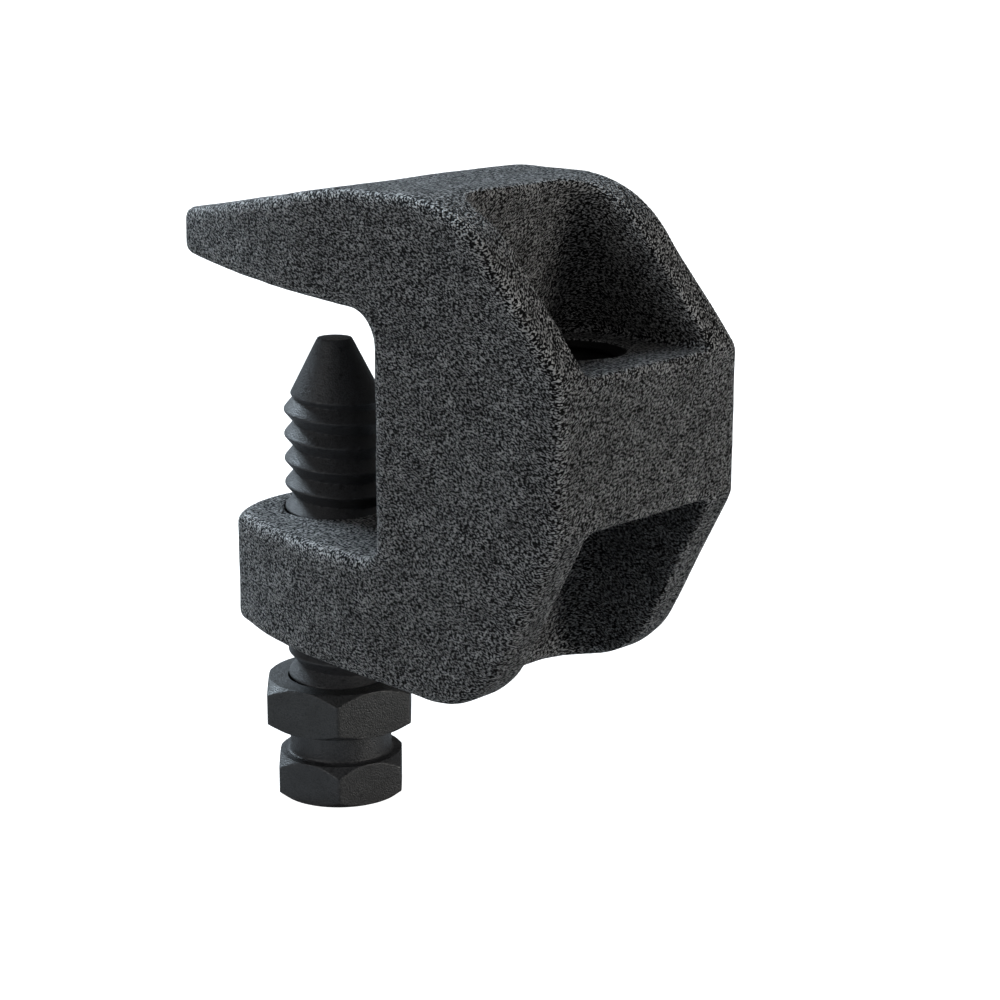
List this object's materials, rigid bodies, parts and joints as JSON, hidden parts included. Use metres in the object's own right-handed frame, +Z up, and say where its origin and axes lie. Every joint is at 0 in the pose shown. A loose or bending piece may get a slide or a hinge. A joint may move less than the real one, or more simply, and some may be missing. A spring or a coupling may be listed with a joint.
{
  "type": "beam clamp",
  "caption": "Cast C-shaped beam clamp with an open throat, a cone-point set screw with lock nut, and a tapped rod hole in a block between two open pockets.",
  "frame": {"origin": "on the axis of the tapped rod hole, half-way up the block it goes through", "axes": "+Z up along the rod hole and the set screw, +X to the back of the body away from the open throat, +Y across the body, which is symmetric about XZ"},
  "size_m": [0.0532, 0.0246, 0.0622],
  "materials": {
    "casting": "rough as-cast, black",
    "screw_steel": "black oxide, satin",
    "nut_steel": "black oxide, satin"
  },
  "bodies": {
    "clamp": {"clamp_body": "casting"},
    "nut": {"lock_nut": "nut_steel"},
    "screw": {"set_screw": "screw_steel"}
  },
  "joints": [
    {"name": "screw_advance", "type": "slide", "parent": "clamp", "child": "nut", "axis": [0, 0, 1], "range_m": [-0.0155, 0.0055]},
    {"name": "screw_turn", "type": "hinge", "parent": "nut", "child": "screw", "pos_m": [-0.0291, 0, 0], "axis": [0, 0, 1], "range_deg": [-800, 2300]}
  ],
  "couplings": [
    {"joint": "screw_advance", "follows": "screw_turn", "m_per_rad": -0.00038197}
  ]
}
